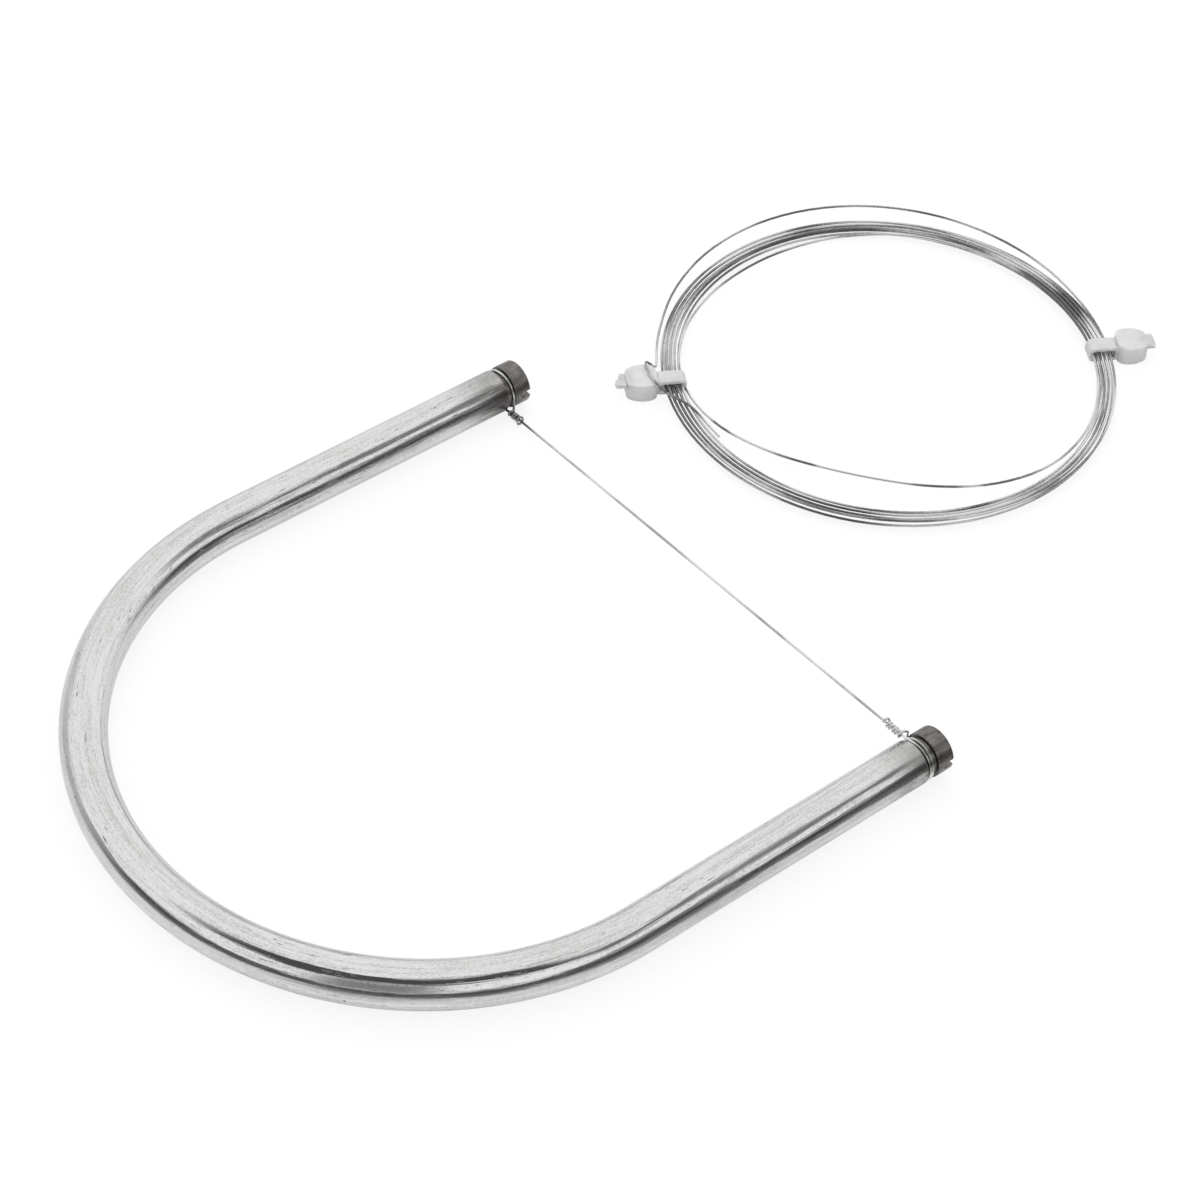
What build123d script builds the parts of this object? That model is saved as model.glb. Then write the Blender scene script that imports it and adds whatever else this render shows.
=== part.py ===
# A clay cutter: a steel tube bent to a U, a slotted screw plug in each of its ends, a cutting wire
# stretched between the plugs, and a tied coil of spare wire lying beside its mouth.
# Millimetres. The bow lies flat on Z = 0 with its legs along +X and its mouth towards +X.
# The cutting wire runs along Y, and the origin is under the middle of the bow.

import math
import os

from build123d import *

# Driving dimensions of the bow
tube_diameter = 12.0
tube_wall = 1.5
leg_spacing = 168.0
leg_length = 86.0
tube_edge_break = 0.35
thread_wall = 1.0
thread_depth = 16.0
thread_entry_chamfer = 0.3
thread_clearance = 0.05

# Driving dimensions of the two slotted plugs
plug_head_length = 5.0
plug_shank_length = 15.0
plug_tip_chamfer = 1.0
plug_rim_chamfer = 0.35
plug_slot_width = 2.0
plug_slot_depth = 3.0
far_neck_gap = 2.3
near_neck_gap = 3.3

# Driving dimensions of the wire, the same gauge on the bow and in the spare coil
wire_diameter = 0.7
wire_sides = 8
strand_gap = 0.5
neck_clearance = 0.15
tube_end_clearance = 0.3
floor_clearance = 0.1
far_neck_loops = 1
near_neck_loops = 2
far_knot_turns = 3.0
near_knot_turns = 3.5
far_knot_pitch = 1.35
near_knot_pitch = 1.5
far_eyelet_radius = 1.5
near_eyelet_radius = 2.1

# Driving dimensions of the spare coil
coil_diameter = 130.0
coil_centre_x = 181.0
coil_centre_y = 31.0
coil_tie_angle = -29.7
coil_wire_sides = 6
coil_layer_turns = 4.5
outer_stray = 6.6
inner_stray = 13.0
slight_stray = 4.2
coil_start_turns = 0.03
coil_free_turns = 0.075

# Driving dimensions of the coil's two cable ties
tie_strap_width = 4.8
tie_strap_thickness = 1.2
tie_strap_round = 0.45
tie_clearance = 0.2
tie_head_length = 8.6
tie_head_width = 9.2
tie_head_height = 5.6
tie_head_round = 1.2
tie_head_edge_round = 0.7
tie_head_outline_shares = ((0, 0.72), (0.22, 1), (0.62, 1), (1, 0.66))
tie_tail_length = 2.4
tie_window_clearance = 0.25
tie_window_depth = 0.8

# One overrun serves every cut that leaves the metal
cut_overrun = 1.0

# Sizes worked out from the driving ones
tube_radius = tube_diameter / 2
bore_radius = tube_radius - tube_wall
bend_radius = leg_spacing / 2
thread_radius = tube_radius - thread_wall
wire_radius = wire_diameter / 2
strand_pitch = wire_diameter + strand_gap
bow_length = bend_radius + tube_radius + leg_length + max(far_neck_gap, near_neck_gap) + plug_head_length
bend_centre_x = bend_radius + tube_radius - bow_length / 2
leg_end_x = bend_centre_x + leg_length
axis_height = tube_radius

os.makedirs("parts", exist_ok=True)


# Bow tube: one length of round tube, bent through a half circle, with a tapped seat in each end
with BuildPart() as bow_tube:
    with BuildLine() as bow_line:
        Line((leg_end_x, bend_radius, axis_height), (bend_centre_x, bend_radius, axis_height))
        ThreePointArc(
            (bend_centre_x, bend_radius, axis_height),
            (bend_centre_x - bend_radius, 0, axis_height),
            (bend_centre_x, -bend_radius, axis_height),
        )
        Line((bend_centre_x, -bend_radius, axis_height), (leg_end_x, -bend_radius, axis_height))
    with BuildSketch(Plane(origin=bow_line.line @ 0, z_dir=bow_line.line % 0)):
        Circle(tube_radius)
        Circle(bore_radius, mode=Mode.SUBTRACT)
    sweep()
    tube_end_faces = bow_tube.faces().filter_by(Axis.X).sort_by(Axis.X)[-2:]
    outer_end_edges = tube_end_faces.edges().filter_by(
        lambda edge: edge.radius > bore_radius + tube_wall / 2
    )
    chamfer(outer_end_edges, tube_edge_break)
    for side in (1, -1):
        seat_mouth = Plane(origin=(leg_end_x, side * bend_radius, axis_height), z_dir=(1, 0, 0))
        with BuildSketch(seat_mouth):
            Circle(thread_radius + thread_clearance)
        extrude(amount=-thread_depth, mode=Mode.SUBTRACT)
        with BuildSketch(seat_mouth):
            Circle(thread_radius + thread_clearance + thread_entry_chamfer)
        extrude(amount=-thread_entry_chamfer, taper=45, mode=Mode.SUBTRACT)

bow_tube.part.label = "bow_tube"
export_step(bow_tube.part, "parts/bow_tube.step")


def make_plug(name, side, neck_gap):
    """Make one slotted screw plug: its shank sits in the tube and its head stands off by the neck gap."""
    base_point = (leg_end_x + neck_gap, side * bend_radius, axis_height)
    head_base = Plane(origin=base_point, x_dir=(0, 1, 0), z_dir=(1, 0, 0))
    with BuildPart() as plug:
        with BuildSketch(head_base):
            Circle(thread_radius)
        extrude(amount=-plug_shank_length)
        chamfer(plug.faces().sort_by(Axis.X)[0].edges(), plug_tip_chamfer)
        with BuildSketch(head_base):
            Circle(tube_radius)
        extrude(amount=plug_head_length)
        chamfer(plug.faces().sort_by(Axis.X)[-1].edges(), plug_rim_chamfer)
        with BuildSketch(head_base.offset(plug_head_length)):
            Rectangle(tube_diameter + cut_overrun, plug_slot_width)
        extrude(amount=-plug_slot_depth, mode=Mode.SUBTRACT)
    plug.part.label = name
    export_step(plug.part, f"parts/{name}.step")
    return plug.part


# Slotted plugs: the same turned screw in both legs, the near one backed out a little further
far_plug = make_plug("slotted_plug_far", 1, far_neck_gap)
near_plug = make_plug("slotted_plug_near", -1, near_neck_gap)


def biarc(start, start_tangent, end, end_tangent):
    """Join two points by two arcs that keep both tangents, or by a line where these agree."""
    chord = end - start
    if chord.get_angle(start_tangent) < 0.01 and chord.get_angle(end_tangent) < 0.01:
        Line(start, end)
        return
    along = chord.dot(start_tangent + end_tangent)
    spread = 2 * (1 - start_tangent.dot(end_tangent))
    if spread < 1e-9:
        reach = chord.dot(chord) / (2 * along)
    else:
        reach = (math.sqrt(along * along + spread * chord.dot(chord)) - along) / spread
    first_corner = start + start_tangent * reach
    second_corner = end - end_tangent * reach
    joint = (first_corner + second_corner) * 0.5
    TangentArc(start, joint, tangent=start_tangent)
    TangentArc(joint, end, tangent=second_corner - first_corner)


def stations_along(point_at, shares):
    """Points of a route with their tangents, where point_at gives the point for a share of it."""
    step_share = 1e-4
    stations = []
    for share in shares:
        heading = point_at(share + step_share) - point_at(share - step_share)
        stations.append((point_at(share), heading.normalized()))
    return stations


def points_on(edges, spacing):
    """Points along a chain of edges, about a spacing apart."""
    points = []
    for edge in edges:
        count = max(2, math.ceil(edge.length / spacing))
        points += [tuple(edge @ (i / count)) for i in range(count)]
    return points


def least_gap(name, points, diameter):
    """Print a wire's length and the least clear space between stretches that lie apart along it."""
    travelled = [0.0]
    for before, after in zip(points, points[1:]):
        travelled.append(travelled[-1] + math.dist(before, after))
    apart = 4 * diameter
    closest = min(
        math.dist(points[i], points[j])
        for i in range(len(points))
        for j in range(i + 1, len(points))
        if travelled[j] - travelled[i] > apart
    )
    print(f"{name}: {travelled[-1]:.0f} mm of wire, least gap to itself {closest - diameter:.2f} mm")


def smooth_step(share):
    """Rise from 0 to 1 with a level start and end."""
    share = min(max(share, 0.0), 1.0)
    return share * share * (3 - 2 * share)


# Cutting wire: one length, looped round each plug's neck and twisted back round itself
# The loop leaves the neck at its mouth side as the tail and near its crown as the span.
# Both meet at the knot, which lies as far off the plane of the legs as the floor allows.
wrap_radius = thread_radius + neck_clearance + wire_radius
knot_radius = strand_pitch
knot_offset = tube_radius - floor_clearance - knot_radius - wire_radius
crown_angle = 2 * math.atan(knot_offset / wrap_radius)
span_x = leg_end_x + tube_end_clearance + wire_radius


def wire_end(side, top, neck_loops, knot_turns, knot_pitch, eyelet_radius):
    """One end of the cutting wire, from its tail to the knot's inner end, as points and tangents.

    side is 1 on the far leg and -1 on the near one. top is 1 where the span leaves over the neck
    and -1 where it leaves under it.
    """
    mouth = -side
    centre = Vector(span_x, side * bend_radius, axis_height)
    knot_start = centre + Vector(0, mouth * wrap_radius, top * knot_offset)
    along = Vector(0, mouth * (bend_radius - wrap_radius), -top * knot_offset).normalized()
    across = Vector(0, -along.Z, along.Y) * (mouth * top)
    loop_angle = 2 * math.pi * neck_loops - crown_angle
    loop_advance = max(strand_pitch * loop_angle / (2 * math.pi), knot_radius)

    def on_neck(share):
        angle = 2 * math.pi * neck_loops - loop_angle * share
        around = Vector(0, mouth * math.cos(angle), top * math.sin(angle)) * wrap_radius
        return centre + around + Vector(loop_advance * (1 - share), 0, 0)

    def on_knot(share):
        turn = knot_turns * (1 - share)
        closing = (loop_advance - knot_radius) * (1 - smooth_step(turn))
        opening = (eyelet_radius - knot_radius) * smooth_step(2 * (turn - knot_turns) + 1)
        reach = knot_radius + closing + opening
        around = Vector(math.cos(2 * math.pi * turn), 0, 0) + across * math.sin(2 * math.pi * turn)
        return knot_start + along * (knot_pitch * turn) + around * reach

    knot_steps = round(4 * knot_turns)
    neck_steps = round(4 * neck_loops)
    stations = stations_along(on_knot, [i / knot_steps for i in range(knot_steps + 1)])
    stations += stations_along(on_neck, [i / neck_steps for i in range(neck_steps + 1)])
    stations.append((knot_start, along))
    tail_point, tail_heading = stations[0]
    stations.insert(0, (tail_point - tail_heading * wire_diameter, tail_heading))
    return stations


far_end = wire_end(1, -1, far_neck_loops, far_knot_turns, far_knot_pitch, far_eyelet_radius)
near_end = wire_end(-1, 1, near_neck_loops, near_knot_turns, near_knot_pitch, near_eyelet_radius)
wire_stations = far_end + [(point, -heading) for point, heading in reversed(near_end)]

with BuildPart() as cutting_wire:
    with BuildLine() as wire_line:
        for (start, start_heading), (end, end_heading) in zip(wire_stations, wire_stations[1:]):
            biarc(start, start_heading, end, end_heading)
    with BuildSketch(Plane(origin=wire_line.line @ 0, z_dir=wire_line.line % 0)):
        RegularPolygon(wire_radius, wire_sides)
    sweep(clean=False)

cutting_wire.part.label = "cutting_wire"
export_step(cutting_wire.part, "parts/cutting_wire.step")
least_gap("cutting wire", points_on(wire_line.edges(), wire_radius), wire_diameter)


# Spare wire: one length wound inwards on the lower layer and outwards again on the upper one
# The turn counts from the first tie. The ties stand half a turn apart and hold every turn.
# Between the ties a few turns stray from the band: two inwards at the climb and one outwards.
# The free end runs over the other turns and crosses the band to lie along its inner edge.
band_width = strand_pitch * coil_layer_turns
outer_line_radius = (coil_diameter - wire_diameter) / 2
inner_line_radius = outer_line_radius - band_width
lower_layer_height = tie_strap_thickness + tie_clearance + wire_radius
climb_end_turn = coil_layer_turns + 0.5
last_tie_turn = climb_end_turn + coil_layer_turns
inner_stray_peak_share = 0.39
slight_stray_peak_share = 0.65
outer_stray_peak_share = 0.5
free_rise_shares = (0.08, 0.38)
free_cross_shares = (0.3, 0.7)


def stray(turn, first_turn, peak_share):
    """How far a turn strays in the half turn after a tie, as a share of the stray at its peak."""
    share = min(max(2 * (turn - first_turn), 0.0), 1.0)
    skew = math.log(0.5) / math.log(peak_share)
    return math.sin(math.pi * share**skew) ** 2


def ramp(share, shares):
    """Rise from 0 to 1 between two shares of a stretch."""
    return smooth_step((share - shares[0]) / (shares[1] - shares[0]))


def coil_point(turn):
    """The coil's centre line. The turn runs on past the last tie into the free end."""
    wound_in = min(turn, coil_layer_turns)
    wound_out = min(max(turn - climb_end_turn, 0.0), coil_layer_turns)
    free_share = (turn - last_tie_turn) / coil_free_turns
    radius = outer_line_radius - strand_pitch * (wound_in - wound_out)
    radius -= inner_stray * stray(turn, coil_layer_turns, inner_stray_peak_share)
    radius -= slight_stray * stray(turn, climb_end_turn, slight_stray_peak_share)
    radius += outer_stray * stray(turn, last_tie_turn - 0.5, outer_stray_peak_share)
    radius -= (band_width + wire_radius) * ramp(free_share, free_cross_shares)
    height = lower_layer_height + strand_pitch * smooth_step(2 * (turn - coil_layer_turns))
    height += strand_pitch * ramp(free_share, free_rise_shares)
    angle = math.radians(coil_tie_angle) + 2 * math.pi * turn
    return Vector(
        coil_centre_x + radius * math.cos(angle),
        coil_centre_y + radius * math.sin(angle),
        height,
    )


coil_turns = [-coil_start_turns] + [i / 4 for i in range(round(4 * last_tie_turn) + 1)]
coil_turns += [
    last_tie_turn + coil_free_turns * share
    for share in (free_rise_shares[1], free_cross_shares[1], 1)
]
coil_stations = stations_along(coil_point, coil_turns)
first_point, first_heading = coil_stations[0]
last_point, last_heading = coil_stations[-1]
coil_stations.insert(0, (first_point - first_heading * wire_diameter, first_heading))
coil_stations.append((last_point + last_heading * wire_diameter, last_heading))

with BuildPart() as spare_wire:
    with BuildLine() as coil_line:
        for (start, start_heading), (end, end_heading) in zip(coil_stations, coil_stations[1:]):
            biarc(start, start_heading, end, end_heading)
    with BuildSketch(Plane(origin=coil_line.line @ 0, z_dir=coil_line.line % 0)):
        RegularPolygon(wire_radius, coil_wire_sides)
    sweep(clean=False)

spare_wire.part.label = "spare_wire"
export_step(spare_wire.part, "parts/spare_wire.step")
least_gap("spare wire", points_on(coil_line.edges(), 2 * wire_diameter), wire_diameter)


# Cable ties: each a one-piece nylon moulding, a strap round the band with its tail through its head
loop_inner_start = inner_line_radius - wire_radius - tie_clearance
loop_inner_end = outer_line_radius + wire_radius + tie_clearance
loop_inner_length = loop_inner_end - loop_inner_start
loop_inner_height = strand_pitch + wire_diameter + 2 * tie_clearance
loop_outer_length = loop_inner_length + 2 * tie_strap_thickness
loop_outer_height = loop_inner_height + 2 * tie_strap_thickness
loop_middle = (loop_inner_start + loop_inner_end) / 2
head_start = loop_inner_end + tie_strap_thickness / 2
head_end = head_start + tie_head_length
strap_level = loop_outer_height - tie_strap_thickness / 2
tail_window_height = tie_strap_thickness + 2 * tie_window_clearance
tail_window_width = tie_strap_width + 2 * tie_window_clearance


def make_tie(name, angle):
    """Make one cable tie at an angle round the coil, with its head on the outside of the band."""
    outward = Vector(math.cos(math.radians(angle)), math.sin(math.radians(angle)), 0)
    middle = Vector(coil_centre_x, coil_centre_y, 0)
    plan = Plane(origin=middle, x_dir=outward, z_dir=(0, 0, 1))
    section = Plane(origin=middle, x_dir=outward, z_dir=outward.cross(Vector(0, 0, 1)))
    head_tip = Plane(origin=middle + outward * head_end, x_dir=plan.y_dir, z_dir=outward)
    outline = [
        (head_start + tie_head_length * along, tie_head_width / 2 * across)
        for along, across in tie_head_outline_shares
    ]
    with BuildPart() as tie:
        with BuildSketch(plan) as head_outline:
            with BuildLine():
                Polyline(*outline, *[(along, -across) for along, across in reversed(outline)], close=True)
            make_face()
            fillet(head_outline.vertices(), tie_head_round)
        extrude(amount=tie_head_height)
        level_faces = tie.faces().filter_by(Axis.Z)
        fillet(level_faces.edges(), tie_head_edge_round)
        with BuildSketch(head_tip):
            with Locations((0, strap_level)):
                Rectangle(tail_window_width, tail_window_height)
        extrude(amount=-tie_window_depth, mode=Mode.SUBTRACT)
        with BuildSketch(section):
            with Locations((loop_middle, loop_outer_height / 2)):
                RectangleRounded(loop_outer_length, loop_outer_height, tie_strap_round + tie_strap_thickness)
            with Locations((head_end + (tie_tail_length - tie_window_depth) / 2, strap_level)):
                Rectangle(tie_tail_length + tie_window_depth, tie_strap_thickness)
        extrude(amount=tie_strap_width / 2, both=True)
        with BuildSketch(section):
            with Locations((loop_middle, loop_outer_height / 2)):
                RectangleRounded(loop_inner_length, loop_inner_height, tie_strap_round)
        extrude(amount=tie_head_width, both=True, mode=Mode.SUBTRACT)
    tie.part.label = name
    export_step(tie.part, f"parts/{name}.step")
    return tie.part


# The ties stand opposite each other, the first where the coil's turns are counted from
first_tie = make_tie("cable_tie_right", coil_tie_angle)
second_tie = make_tie("cable_tie_left", coil_tie_angle + 180)
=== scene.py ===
"""Looks of a clay cutter: a steel bow with its plugs and wire, and a tied coil of spare wire.

Everything is in metres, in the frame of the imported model: +Z up and the legs along +X.
"""
import logging
import math
from dataclasses import dataclass
from enum import Enum
from typing import Iterable, Sequence, Union

import bmesh
import bpy
from mathutils import Matrix, Vector


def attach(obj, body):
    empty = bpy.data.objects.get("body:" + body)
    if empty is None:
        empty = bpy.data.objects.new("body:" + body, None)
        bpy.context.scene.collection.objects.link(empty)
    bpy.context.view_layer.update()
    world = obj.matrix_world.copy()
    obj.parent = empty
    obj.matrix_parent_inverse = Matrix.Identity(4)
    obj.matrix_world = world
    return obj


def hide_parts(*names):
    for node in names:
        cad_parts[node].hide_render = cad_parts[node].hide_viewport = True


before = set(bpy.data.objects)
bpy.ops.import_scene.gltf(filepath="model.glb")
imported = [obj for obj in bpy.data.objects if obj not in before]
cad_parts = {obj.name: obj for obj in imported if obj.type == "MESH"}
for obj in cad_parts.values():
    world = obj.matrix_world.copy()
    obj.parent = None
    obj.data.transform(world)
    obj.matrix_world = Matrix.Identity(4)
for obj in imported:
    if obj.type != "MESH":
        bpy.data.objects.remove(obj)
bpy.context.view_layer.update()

LOG = logging.getLogger("clay_cutter")
MM = 0.001
FULL_TURN = 2 * math.pi
MERGE = 0.001 * MM
METAL_SHARP_DEGREES = 32.0
STRAIGHT = "straight"
WHITE = (1.0, 1.0, 1.0, 1.0)
Numbers = tuple[float, ...]
Colour = tuple[float, float, float]
Piece = bpy.types.Object
Shape = bmesh.types.BMesh
Number = Union[float, "Value"]


class Leg(Enum):
    """The two legs of the bow, by the side of the bow's middle that they lie on."""

    FAR = 1
    NEAR = -1


class TailCut(Enum):
    """How a cable tie's tail was cut off, as the mm left on the two halves of its width."""

    SQUARE = (2.4, 2.4)
    STEPPED = (1.9, 3.1)


# Shader maths


class Value:
    """A shader socket that takes part in Python sums."""

    def __init__(self, graph: "Graph", socket: bpy.types.NodeSocket) -> None:
        """Wrap a socket of a graph."""
        self.graph = graph
        self.socket = socket

    def __add__(self, other: Number) -> "Value":
        """Add a number or a value."""
        return self.graph.math("ADD", self, other)

    def __radd__(self, other: Number) -> "Value":
        """Add to a number."""
        return self.graph.math("ADD", other, self)

    def __sub__(self, other: Number) -> "Value":
        """Take away a number or a value."""
        return self.graph.math("SUBTRACT", self, other)

    def __rsub__(self, other: Number) -> "Value":
        """Take this value away from a number."""
        return self.graph.math("SUBTRACT", other, self)

    def __mul__(self, other: Number) -> "Value":
        """Multiply by a number or a value."""
        return self.graph.math("MULTIPLY", self, other)

    def __rmul__(self, other: Number) -> "Value":
        """Multiply a number."""
        return self.graph.math("MULTIPLY", other, self)


@dataclass(frozen=True)
class Noise:
    """Smooth noise: its changes in a metre along X, Y and Z, its finer layers, and their strength.

    Where it is used as spots, they fade in between two of its levels.
    """

    scale: Numbers
    detail: float
    rough: float
    levels: Numbers = (0.0, 1.0)


class Graph:
    """The node tree of one material or of the world."""

    def __init__(self, tree: bpy.types.NodeTree) -> None:
        """Take over a node tree and empty it."""
        self.tree = tree
        self.tree.nodes.clear()

    def node(self, kind: str, settings: dict, inputs: dict, output: int | str = 0) -> Value:
        """Add a node, with its settings first and then its sockets.

        Args:
            kind: The node's type, without its ShaderNode prefix.
            settings: The node's own settings.
            inputs: Numbers, vectors, colours or values for its sockets, by name or index.
            output: The name or index of the output that is wanted.

        Returns:
            The wanted output as a value, or the first input of a node without outputs.
        """
        node = self.tree.nodes.new("ShaderNode" + kind)
        for key, setting in settings.items():
            setattr(node, key, setting)
        for key, source in inputs.items():
            if isinstance(source, Value):
                self.tree.links.new(source.socket, node.inputs[key])
            else:
                node.inputs[key].default_value = source
        return Value(self, node.outputs[output] if node.outputs else node.inputs[0])

    def math(self, operation: str, first: Number, second: Number) -> Value:
        """Work out two numbers by a Math node."""
        return self.node("Math", {"operation": operation}, {0: first, 1: second})

    def vector(
        self, operation: str, *operands: Union[Value, Sequence[float]], output: int | str = 0
    ) -> Value:
        """Work out vectors by a Vector Math node."""
        return self.node("VectorMath", {"operation": operation}, dict(enumerate(operands)), output)

    def noise(self, place: Value, noise: Noise) -> Value:
        """Read a noise at a place, from 0 to 1."""
        inputs = {"Scale": 1.0, "Detail": noise.detail, "Roughness": noise.rough}
        return self.node("TexNoise", {}, {0: self.vector("MULTIPLY", place, noise.scale), **inputs})

    def spots(self, place: Value, noise: Noise) -> Value:
        """Read a noise as spots, from 0 beside them to 1 inside."""
        return self.fade(self.noise(place, noise), *noise.levels)

    def fade(self, value: Number, low: float, high: float) -> Value:
        """Rise smoothly from 0 to 1 between two levels of a value."""
        settings = {"interpolation_type": "SMOOTHSTEP", "clamp": True}
        return self.node("MapRange", settings, {0: value, 1: low, 2: high, 3: 0.0, 4: 1.0})

    def mix(self, share: Value, first: Union[Colour, Value], second: Colour) -> Value:
        """Mix a share of the second colour into the first."""
        sources = [one if isinstance(one, Value) else (*one, 1.0) for one in (first, second)]
        return self.node("Mix", {"data_type": "RGBA"}, {0: share, 6: sources[0], 7: sources[1]}, 2)

    def bump(self, height: Value, distance: float, strength: float) -> Value:
        """Turn a height from 0 to 1, which stands a distance high at 1, into a bumped normal."""
        inputs = {"Height": height, "Distance": distance, "Strength": strength}
        return self.node("Bump", {}, inputs, "Normal")

    def surface(self, shader: Value) -> None:
        """Make a shader the material's surface."""
        self.node("OutputMaterial", {}, {"Surface": shader})

    def steel(self, colour: Value, rough: Value, normal: Value) -> None:
        """Make bare metal the material's surface."""
        shader = {"Base Color": colour, "Metallic": 1.0, "Roughness": rough, "Normal": normal}
        self.surface(self.node("BsdfPrincipled", {}, shader))


def new_material(name: str) -> tuple[bpy.types.Material, Graph]:
    """Make an empty material.

    Args:
        name: The material's name.

    Returns:
        The material and its graph.
    """
    material = bpy.data.materials.new(name)
    material.use_nodes = True
    return material, Graph(material.node_tree)


# Finishes


@dataclass(frozen=True)
class TubeSteel:
    """Polished stainless tube with drawn lines along it, scratches, pits, and dark dirt at its
    ends, with painted shade that darkens the ends' lower side towards -Y.
    """

    length: float
    light: Colour = (0.885, 0.885, 0.88)
    dull: Colour = (0.53, 0.525, 0.515)
    # Colour of the dirt at the ends, also used as painted shade on their lower -Y side.
    dirt_and_shade_colour: Colour = (0.105, 0.096, 0.09)
    pit: Colour = (0.05, 0.048, 0.046)
    roughness: float = 0.10
    relief: float = 0.12 * MM
    far_reach: float = 18 * MM
    far_ragged: float = 22 * MM
    near_reach: float = 15 * MM
    near_ragged: float = 9 * MM
    shade_side_levels: Numbers = (-3.0 * MM, 3.5 * MM)
    dull_levels: Numbers = (0.44, 0.61)
    fine: Noise = Noise((130, 3400, 3400), 4, 0.7)
    streaks: Noise = Noise((26, 900, 900), 4, 0.65)
    ridges: Noise = Noise((30, 760, 760), 2, 0.5)
    broad: Noise = Noise((34, 210, 210), 3, 0.6)
    grain: Noise = Noise((1300, 2400, 2400), 3, 0.6)
    blotches: Noise = Noise((75, 190, 190), 4, 0.65, (0.22, 0.5))
    scratches: Noise = Noise((210, 2300, 2300), 3, 0.6, (0.64, 0.69))
    scratched: Noise = Noise((24, 170, 170), 2, 0.5, (0.45, 0.58))
    pits: Noise = Noise((820, 1150, 1150), 3, 0.6, (0.68, 0.73))
    pitted: Noise = Noise((19, 120, 120), 2, 0.5, (0.50, 0.60))

    def dirt_and_shade(self, graph: Graph, place: Value, streaks: Value) -> Value:
        """Draw dirt inwards from both ends, in streaks, with painted shade that makes it darkest
        low down on the side towards -Y.

        Args:
            graph: The material's graph.
            place: The place on the straightened tube.
            streaks: The streaks along the tube.

        Returns:
            How much of the dark dirt and painted shade there is, from 0 to 1.
        """
        along, outwards, up = (graph.node("SeparateXYZ", {}, {0: place}, axis) for axis in "XYZ")
        on_near = graph.fade(along, self.length * 0.45, self.length * 0.55)
        to_front = outwards * (on_near * 2.0 - 1.0)
        # Painted shade: the lower side towards -Y takes more of the dark colour.
        painted_side_shade = graph.fade(to_front - up * 0.5, *self.shade_side_levels)
        ragged = streaks - 0.5
        far = 1.0 - graph.fade(along + ragged * self.far_ragged, 0.0, self.far_reach)
        from_near = self.length - along + ragged * self.near_ragged
        near = 1.0 - graph.fade(from_near, 0.0, self.near_reach)
        worn = graph.math("MAXIMUM", far, near * 0.85)
        return worn * (0.55 + painted_side_shade * 0.45) * graph.spots(place, self.blotches)

    def material(self) -> bpy.types.Material:
        """Make the material. It reads the place on the straightened tube.

        Returns:
            The material.
        """
        material, graph = new_material("tube_steel_polished")
        place = graph.node("Attribute", {"attribute_name": STRAIGHT}, {}, "Vector")
        noises = (self.fine, self.streaks, self.ridges, self.broad, self.grain)
        fine, streaks, ridges, broad, grain = (graph.noise(place, noise) for noise in noises)
        scratches = graph.spots(place, self.scratches) * graph.spots(place, self.scratched)
        pits = graph.spots(place, self.pits) * graph.spots(place, self.pitted)
        marks = graph.math("MAXIMUM", scratches, pits)
        dirt_and_shade = self.dirt_and_shade(graph, place, streaks)
        lines = fine * 0.3 + streaks * 0.25 + broad * 0.15 + grain * 0.3
        dulled = graph.fade(lines, *self.dull_levels)
        colour = graph.mix(dulled * 0.75, self.light, self.dull)
        # Dark dirt at the ends, painted darker as shade on their lower side towards -Y.
        colour = graph.mix(dirt_and_shade * 0.95, colour, self.dirt_and_shade_colour)
        colour = graph.mix(marks * 0.85, colour, self.pit)
        rough = self.roughness + dulled * 0.10 + marks * 0.25 + dirt_and_shade * 0.2
        height = ridges * 0.85 + broad * 0.8 + fine * 0.06 + grain * 0.05 - marks * 0.2
        graph.steel(colour, rough, graph.bump(height, self.relief, 0.9))
        return material


@dataclass(frozen=True)
class PlugSteel:
    """Dark dull bar steel with fine tool lines, worn spots and soot."""

    leg: Leg
    tooling: Noise
    patches: Noise = Noise((300, 520, 520), 4, 0.6)
    specks: Noise = Noise((2300, 2300, 2300), 3, 0.6, (0.66, 0.72))
    body: Colour = (0.205, 0.193, 0.184)
    worn: Colour = (0.40, 0.385, 0.37)
    soot: Colour = (0.055, 0.051, 0.048)
    worn_levels: Numbers = (0.50, 0.66)
    soot_levels: Numbers = (0.34, 0.48)
    roughness: float = 0.27
    relief: float = 0.016 * MM

    def material(self) -> bpy.types.Material:
        """Make the material.

        Returns:
            The material.
        """
        material, graph = new_material(f"plug_steel_{self.leg.name.lower()}")
        place = graph.node("TexCoord", {}, {}, "Object")
        tooling = graph.noise(place, self.tooling)
        patches = graph.noise(place, self.patches)
        specks = graph.spots(place, self.specks)
        worn = graph.fade(patches * 0.5 + tooling * 0.5, *self.worn_levels)
        soot = 1.0 - graph.fade(patches * 0.6 + tooling * 0.4, *self.soot_levels)
        colour = graph.mix(worn * 0.7, self.body, self.worn)
        colour = graph.mix(soot * 0.75, colour, self.soot)
        colour = graph.mix(specks * 0.6, colour, self.soot)
        rough = self.roughness + tooling * 0.14 + soot * 0.1
        graph.steel(colour, rough, graph.bump(tooling - specks * 0.8, self.relief, 0.5))
        return material


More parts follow.
